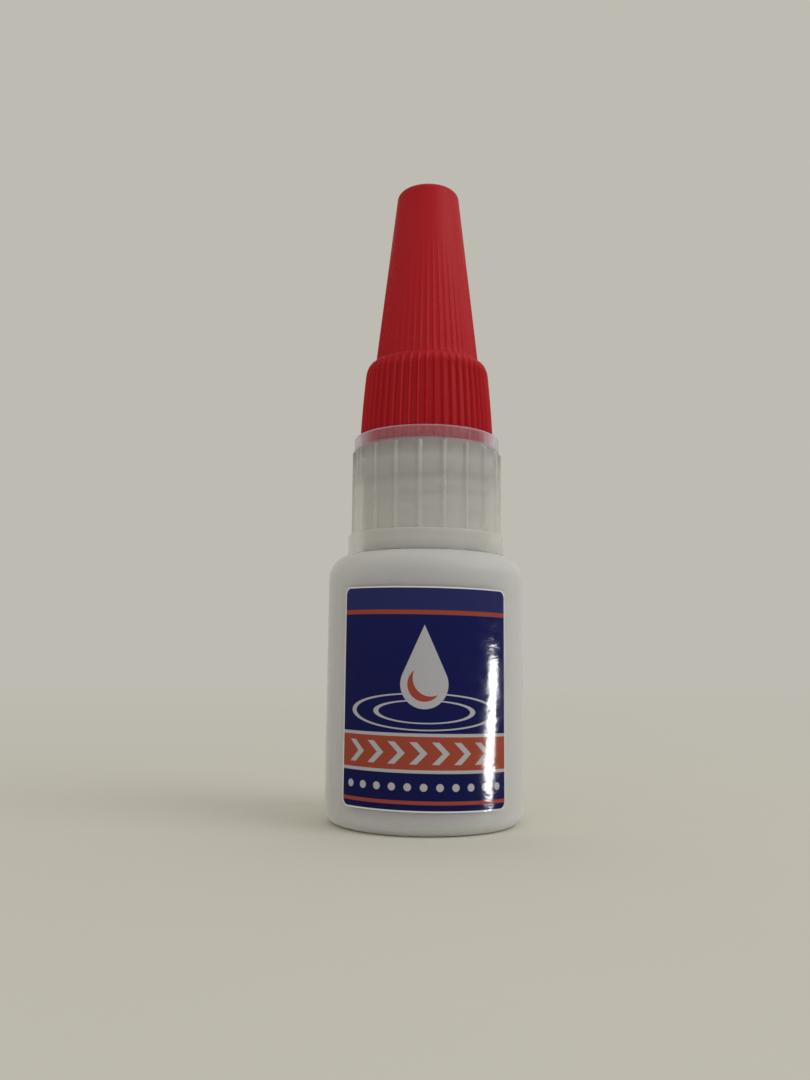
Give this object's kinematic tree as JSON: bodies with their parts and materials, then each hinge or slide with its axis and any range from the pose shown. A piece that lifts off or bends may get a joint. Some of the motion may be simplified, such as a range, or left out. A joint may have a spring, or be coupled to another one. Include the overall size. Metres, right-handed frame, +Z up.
{
  "type": "instant adhesive bottle",
  "caption": "Small milky squeeze bottle of instant adhesive with a front label, a clear ribbed screw nozzle and a tall red ribbed cap that unscrews and lifts off.",
  "frame": {"origin": "middle of the base, on the surface that the bottle stands on", "axes": "+Z up along the bottle's axis, -Y out of the label, +X to the right of the label seen from its front"},
  "size_m": [0.024, 0.0242, 0.0802],
  "materials": {
    "bottle_plastic": "milky translucent polyethylene, satin",
    "adhesive": "clear thin liquid",
    "label_film": "glossy printed film in blue, orange and white",
    "nozzle_plastic": "natural translucent polyethylene, smooth",
    "cap_plastic": "red polypropylene, satin",
    "pin_steel": "bright drawn wire"
  },
  "bodies": {
    "bottle": {"bottle": "bottle_plastic", "adhesive": "adhesive", "label": "label_film", "nozzle": "nozzle_plastic"},
    "pin": {"cap_pin": "pin_steel"},
    "cap": {"cap": "cap_plastic"}
  },
  "joints": [
    {"name": "cap_lift", "type": "slide", "parent": "bottle", "child": "pin", "axis": [0, 0, 1], "range_m": [0, 0.045]},
    {"name": "cap_unscrew", "type": "hinge", "parent": "pin", "child": "cap", "pos_m": [0, 0, 0.0456], "axis": [0, 0, 1], "range_deg": [0, 720]}
  ]
}
